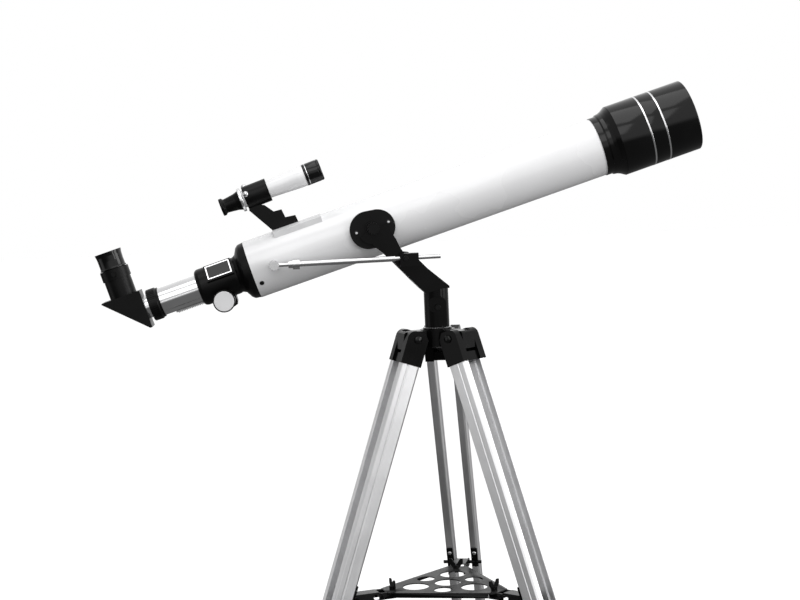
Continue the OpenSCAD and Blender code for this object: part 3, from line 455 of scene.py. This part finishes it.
def plain_parts(made):
    """Pieces whose shape is the CAD node's own, with rounded edges."""
    for node in nodes:
        if node in made:
            continue
        if node.startswith("leg_"):
            leg = int(node.split("_")[1])
            matrix = None if node.endswith("foot") else leg_frame(leg)
            if node.endswith("fittings"):
                piece = refined(node, matrix=matrix, bevel=CAST_BEVEL, material="black_cast_and_painted_shade")
                repaint(piece, "steel", is_bracket_screw)
            else:
                refined(node, matrix=matrix, bevel=LEG_BEVEL)
        elif node in CAST:
            refined(node, bevel=CAST_BEVEL, material="black_cast_and_painted_shade")
        else:
            refined(node)


def grooved(radius, places, width, depth):
    """Points along an outside of that radius with square grooves at some places, back to front."""
    points = []
    for place in places:
        points += [
            (radius, place - width / 2), (radius - depth, place - width / 2),
            (radius - depth, place + width / 2), (radius, place + width / 2),
        ]
    return points


def objective_end():
    """The white tube and its moulded black front end."""
    lathe("tube_shell", [
        (TUBE_IN_R, TUBE_BACK), (TUBE_R, TUBE_BACK), (TUBE_R, TUBE_FRONT), (TUBE_IN_R, TUBE_FRONT),
    ], "tube", "white_enamel", "main_tube", radius=0.3, sides=256)
    lathe("objective_cell_shell", [
        (TUBE_R, 331), (41, 331), (41, 339.6), (42.6, 341), (43.4, 346), (45.2, 350.5),
        (SHIELD_R, 356.9), (46, 356.9), (46, 373), (36, 373), (36, 353), (34, 353),
        (34, TUBE_FRONT), (TUBE_R, TUBE_FRONT),
    ], "tube", "black_gloss", "objective_cell", radius=0.5, sides=256)
    grooves = grooved(SHIELD_R, STRIPES, STRIPE_WIDTH, STRIPE_DEPTH)
    lathe("dew_shield_shell", [(SHIELD_R, 357)] + grooves + [
        (SHIELD_R, 465.4), (SHIELD_R - 0.9, 466.4), (SHIELD_IN_R, 466.4), (SHIELD_IN_R, 375),
        (46.05, 374), (46.05, 357),
    ], "dew_shield", "black_gloss", "dew_shield", radius=0.25, sides=256)
    low, high = SHIELD_R - STRIPE_DEPTH, SHIELD_R + STRIPE_RISE
    for number, place in enumerate(STRIPES, 1):
        back, front = place - STRIPE_WIDTH / 2, place + STRIPE_WIDTH / 2
        lathe(f"dew_shield_stripe_{number}", [
            (low, back), (high, back), (high, front), (low, front),
        ], "dew_shield", "bright_trim", "dew_shield_rings", radius=0.12, sides=256)


def finder_pieces():
    """The finder's white tube, silver ring, black bell with a bright line, and eyepiece."""
    lathe("finder_shell", [
        (10.8, -20), (12, -20), (12, 20), (14.3, 61), (14.3, 72), (13.1, 72), (13.1, 61),
        (10.8, 20),
    ], "finder", "white_enamel", "finder_tube", matrix=FINDER, radius=0.3)
    lathe("finder_silver_ring", [
        (12, -20), (16.5, -20), (16.5, -24), (12, -24),
    ], "finder", "bright_trim", "finder_tube", matrix=FINDER, radius=0.7)
    lathe("finder_bell", [(14.3, 70), (14.9, 70)] + grooved(14.9, (74, 90), 0.9, 0.5) + [
        (14.9, 92.5), (13.9, 94), (12.4, 94), (12.4, 82), (11.6, 82), (11.6, 78),
        (12.8, 78), (12.8, 72), (14.3, 72),
    ], "finder", "black_gloss", "finder_cell", matrix=FINDER, radius=0.3)
    lathe("finder_bell_line", [
        (14.4, 73.6), (14.95, 73.6), (14.95, 74.4), (14.4, 74.4),
    ], "finder", "bright_trim", matrix=FINDER, radius=0.1)
    lathe("finder_eyecup", [
        (10.8, -20), (12, -20), (12, -24), (13.6, -24), (12.6, -27), (11.6, -30), (10.4, -39),
        (9.9, -43), (9.7, -46), (12, -48), (12, -52), (7, -52), (5, -48), (5, -40), (10.4, -26),
    ], "finder", "black_satin", "finder_eyepiece", matrix=FINDER, radius=0.6)


def eyepiece_pieces():
    """The eyepiece with its plain flared cup."""
    lathe("eyepiece_shell", [
        (11.5, 34), (15.875, 34), (15.875, 64.5), (18.2, 64.5), (18.2, 66.2), (17.4, 66.8),
        (17.3, 76), (17.6, 83), (18.6, 88), (18.2, 88.5), (16.8, 88.2), (15.6, 84), (12, 82.5),
        (9, 82.5), (9, 78.5), (11.5, 78.5),
    ], "eyepiece", "black_gloss", "eyepiece_body", matrix=EYE, radius=0.35)


def small_details():
    """Pieces with an edge or a finish of their own, most with a second finish on some faces."""
    badge = refined("name_badge", matrix=BADGE, bevel=0.3)
    repaint(badge, "black_gloss", is_badge_panel)
    bolts = refined("head_bolts", bevel=0.5)
    repaint(bolts, "black_metal", is_hinge_bolt)
    screws = refined("tube_screws", matrix=TUBE, bevel=0.12)
    # The plate screws' black domes get steel in their middle: a painted highlight
    repaint(screws, "steel", is_plate_screw)
    refined("knob_caps", matrix=TUBE, bevel=0.5, material="knob_face")
    saddle = refined("finder_saddle", matrix=TUBE, bevel=0.3)
    # The saddle's near side is painted grey: painted shade on its upright face
    repaint(saddle, "painted_shade_grey", is_near_side)
    tray = refined("accessory_tray")
    # The tray's edges, ears and lips are painted near black: painted shade on the faces below its
    # top
    repaint(tray, "black_cast_and_painted_shade", is_under_tray)


objective_end()
finder_pieces()
eyepiece_pieces()
small_details()
plain_parts({
    "main_tube", "objective_cell", "dew_shield", "dew_shield_rings", "finder_tube", "finder_cell",
    "finder_eyepiece", "eyepiece_body", "name_badge", "head_bolts", "tube_screws", "knob_caps",
    "accessory_tray", "finder_saddle",
})


# ---- studio ----

# The sky's level is 1, and falls to these below the horizon and on the left
SHADE_BELOW = 0.15
LEFT_DIMMING = 0.5

# Where it changes: by height, from 0 straight down to 1 straight up, and by how far left, up to 1
HORIZON_RANGE = (0.40, 0.49)
LEFT_RANGE = (0.28, 0.62)

FLOOR_SIZE = 60
FLOOR_WHITE = 0.95
FLOOR_GLOW = 0.18

# The camera's angles in degrees, and its place in metres with its height above the azimuth joint
CAMERA_YAW, CAMERA_PITCH, CAMERA_ROLL = 3.61, -4.08, -2.41
CAMERA_X, CAMERA_Y, CAMERA_RISE = -0.1885, -2.1946, 0.1959

# The lens and the width of the sensor, in mm
LENS = 72
SENSOR = 36


def sky():
    """White sky, dark below the horizon and dimmer on the left; the camera sees it all white."""
    world = bpy.data.worlds.new("studio")
    bpy.context.scene.world = world
    world.use_nodes = True
    tree = world.node_tree
    add = node_adder(tree)
    background = tree.nodes["Background"]
    background.inputs["Strength"].default_value = 1.0
    coordinates = add("ShaderNodeTexCoord")
    parts = add("ShaderNodeSeparateXYZ")
    height = add("ShaderNodeMapRange", {"From Min": -1})
    horizon = add("ShaderNodeValToRGB")
    below, above = horizon.color_ramp.elements
    below.position, above.position = HORIZON_RANGE
    below.color = (SHADE_BELOW, SHADE_BELOW, SHADE_BELOW, 1)
    above.color = (1, 1, 1, 1)
    leftward = add("ShaderNodeVectorMath", {1: (-1, 0, 0)}, operation="DOT_PRODUCT")
    shade = add("ShaderNodeMapRange", {
        "From Min": LEFT_RANGE[0], "From Max": LEFT_RANGE[1], "To Min": 1.0, "To Max": LEFT_DIMMING,
    })
    dimmed = add("ShaderNodeVectorMath", operation="SCALE")
    path = add("ShaderNodeLightPath")
    backdrop = add("ShaderNodeMixRGB", {"Color2": (1, 1, 1, 1)})
    for source, output, target, socket in (
        (coordinates, "Generated", parts, "Vector"),
        (parts, "Z", height, "Value"),
        (height, "Result", horizon, "Fac"),
        (coordinates, "Generated", leftward, 0),
        (leftward, "Value", shade, "Value"),
        (horizon, "Color", dimmed, 0),
        (shade, "Result", dimmed, "Scale"),
        (path, "Is Camera Ray", backdrop, "Fac"),
        (dimmed, "Vector", backdrop, "Color1"),
        (backdrop, "Color", background, "Color"),
    ):
        tree.links.new(source.outputs[output], target.inputs[socket])


def studio_floor():
    """Pale floor that glows a little, and neither lights the part nor shows in it."""
    bpy.ops.mesh.primitive_plane_add(size=FLOOR_SIZE)
    floor = bpy.context.object
    floor.name = "studio_floor"
    material, _, shader, _ = new_material("studio_floor")
    shader.inputs["Base Color"].default_value = (FLOOR_WHITE, FLOOR_WHITE, FLOOR_WHITE, 1)
    shader.inputs["Roughness"].default_value = 0.9
    shader.inputs["Emission Color"].default_value = (1, 1, 1, 1)
    shader.inputs["Emission Strength"].default_value = FLOOR_GLOW
    floor.data.materials.append(material)
    floor.visible_diffuse = False
    floor.visible_glossy = False


def area_light(name, place, target, size, power):
    """A soft light that faces a point, from a rectangle of that width and height."""
    data = bpy.data.lights.new(name, "AREA")
    data.shape = "RECTANGLE"
    data.size, data.size_y = size
    data.energy = power
    light = bpy.data.objects.new(name, data)
    bpy.context.scene.collection.objects.link(light)
    light.location = place
    facing = Vector(target) - Vector(place)
    light.rotation_euler = facing.to_track_quat("-Z", "Y").to_euler()


def camera():
    """The camera stands about 2.2 m away, a little above the altitude axis, with a slight roll."""
    yaw, pitch, roll = (math.radians(a) for a in (CAMERA_YAW, CAMERA_PITCH, CAMERA_ROLL))
    across = math.cos(pitch)
    forward = Vector((math.sin(yaw) * across, math.cos(yaw) * across, math.sin(pitch)))
    right = Vector((math.cos(yaw), -math.sin(yaw), 0))
    up = right.cross(forward)
    tilted_right = math.cos(roll) * right + math.sin(roll) * up
    tilted_up = -math.sin(roll) * right + math.cos(roll) * up
    data = bpy.data.cameras.new("camera")
    data.lens = LENS
    data.sensor_width = SENSOR
    cam = bpy.data.objects.new("camera", data)
    bpy.context.scene.collection.objects.link(cam)
    matrix = Matrix((tilted_right, tilted_up, -forward)).transposed().to_4x4()
    matrix.translation = Vector((CAMERA_X, CAMERA_Y, HEAD_Z + CAMERA_RISE))
    cam.matrix_world = matrix
    bpy.context.scene.camera = cam


bpy.context.scene.view_settings.view_transform = "Standard"
sky()
studio_floor()
area_light("top", place=(-0.3, -0.6, 3.6), target=(0, 0, 1.0), size=(2.2, 2.2), power=26)
area_light("side", place=(3.4, -0.9, 1.7), target=(0.1, 0, 0.7), size=(2.0, 2.0), power=52)
area_light("left", place=(-2.8, 0, 0.8), target=(0.2, 0, 0.7), size=(1.5, 1.5), power=5)
area_light("front", place=(-0.8, -3.2, 2.9), target=(0, 0, 1.1), size=(2.4, 1.6), power=18)
area_light("strip", place=(2.3, -2.3, 1.1), target=(0, 0, 1.0), size=(0.4, 1.5), power=12)
camera()
